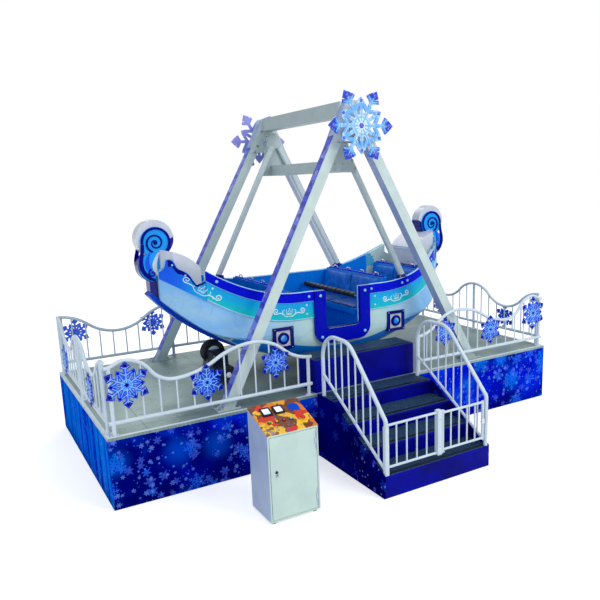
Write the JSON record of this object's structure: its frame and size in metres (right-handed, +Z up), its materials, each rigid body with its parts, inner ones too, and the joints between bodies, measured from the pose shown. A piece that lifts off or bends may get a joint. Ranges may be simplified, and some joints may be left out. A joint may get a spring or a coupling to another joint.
{
  "type": "pirate ship ride",
  "caption": "Small amusement ride: a ship-shaped boat with facing benches swings between A-frames over a fenced, skirted platform with gated stairs and a control cabinet.",
  "frame": {"origin": "on the ground under the middle of the swing axis, which is also the middle of the platform", "axes": "+X along the platform and the boat, +Y from the stairs towards the back, +Z up"},
  "size_m": [6.1038, 4.2019, 4.1324],
  "materials": {
    "frame_steel": "satin",
    "deck_plate": "satin",
    "skirt_panel": "satin",
    "fence_white": "gloss",
    "snowflake_blue": "gloss",
    "leg_blue": "gloss",
    "leg_white": "gloss",
    "tread_steel": "satin",
    "rail_steel": "gloss",
    "panel_navy": "satin",
    "hull_blue": "gloss",
    "band_cyan": "gloss",
    "band_deep_blue": "gloss",
    "deck_white": "gloss",
    "seat_teal": "gloss",
    "tyre_rubber": "matt",
    "cabinet_white": "satin",
    "panel_blue": "satin",
    "motor_grey": "satin"
  },
  "bodies": {
    "platform": {"base_long_rails": "frame_steel", "base_cross_members": "frame_steel", "base_posts": "frame_steel", "deck": "deck_plate", "skirts_front": "skirt_panel", "skirts_ends": "skirt_panel", "skirt_back": "skirt_panel", "fences_front": "fence_white", "fences_ends": "fence_white", "fence_back": "fence_white", "fence_snowflakes": "snowflake_blue", "legs_left": "leg_blue", "legs_right": "leg_blue", "frame_heads": "leg_blue", "top_beam": "leg_white", "large_snowflakes": "snowflake_blue", "stair_treads": "tread_steel", "stair_risers": "panel_navy", "stair_sides": "panel_navy", "boarding_step": "panel_navy", "stair_rails": "rail_steel", "gate_fixed_panel": "rail_steel", "drive_stand": "frame_steel", "drive_motor": "motor_grey", "control_cabinet": "cabinet_white", "control_panel": "panel_blue", "cabinet_feet": "frame_steel"},
    "boat": {"hull_bottom": "hull_blue", "hull_near_left": "hull_blue", "hull_near_right": "hull_blue", "hull_far_left": "hull_blue", "hull_far_right": "hull_blue", "gunwales": "band_deep_blue", "waist_boards": "band_cyan", "bow_boards": "band_cyan", "bow_decks": "deck_white", "keel_band": "band_deep_blue", "door_trim": "band_deep_blue", "windows": "band_deep_blue", "scroll_cores": "deck_white", "scroll_reliefs": "band_cyan", "boat_floor": "deck_plate", "benches_inner": "seat_teal", "benches_outer": "seat_teal", "hanger_plates": "leg_blue", "hanger_rods": "leg_white", "cross_tube": "leg_white"},
    "gate": {"stair_gate": "rail_steel"},
    "cabinet_door": {"cabinet_door": "cabinet_white"},
    "drive_wheel": {"drive_tyre": "tyre_rubber", "drive_hub": "frame_steel"},
    "bar_left_inner": {"lap_bar_left_inner": "rail_steel"},
    "bar_right_inner": {"lap_bar_right_inner": "rail_steel"},
    "bar_left_outer": {"lap_bar_left_outer": "rail_steel"},
    "bar_right_outer": {"lap_bar_right_outer": "rail_steel"}
  },
  "joints": [
    {"name": "boat_swing", "type": "hinge", "parent": "platform", "child": "boat", "pos_m": [0, 0, 3.76], "axis": [0, 1, 0], "range_deg": [-45, 45]},
    {"name": "lap_bar_left_inner_pivot", "type": "hinge", "parent": "boat", "child": "bar_left_inner", "pos_m": [-0.62, 0, 1.59], "axis": [0, 1, 0], "range_deg": [-65, 0]},
    {"name": "lap_bar_right_inner_pivot", "type": "hinge", "parent": "boat", "child": "bar_right_inner", "pos_m": [0.62, 0, 1.59], "axis": [0, 1, 0], "range_deg": [0, 65]},
    {"name": "lap_bar_left_outer_pivot", "type": "hinge", "parent": "boat", "child": "bar_left_outer", "pos_m": [-1.36, 0, 1.62], "axis": [0, 1, 0], "range_deg": [-65, 0]},
    {"name": "lap_bar_right_outer_pivot", "type": "hinge", "parent": "boat", "child": "bar_right_outer", "pos_m": [1.36, 0, 1.62], "axis": [0, 1, 0], "range_deg": [0, 65]},
    {"name": "stair_gate_hinge", "type": "hinge", "parent": "platform", "child": "gate", "pos_m": [0.056, -2.74, 0.33], "axis": [0, 0, 1], "range_deg": [-95, 0]},
    {"name": "cabinet_door_hinge", "type": "hinge", "parent": "platform", "child": "cabinet_door", "pos_m": [-1.3675, -2.589, 0.45], "axis": [0, 0, 1], "range_deg": [0, 110]},
    {"name": "drive_wheel_spin", "type": "hinge", "parent": "platform", "child": "drive_wheel", "pos_m": [-1.42, 0, 1.08787], "axis": [0, 1, 0], "continuous": true}
  ]
}
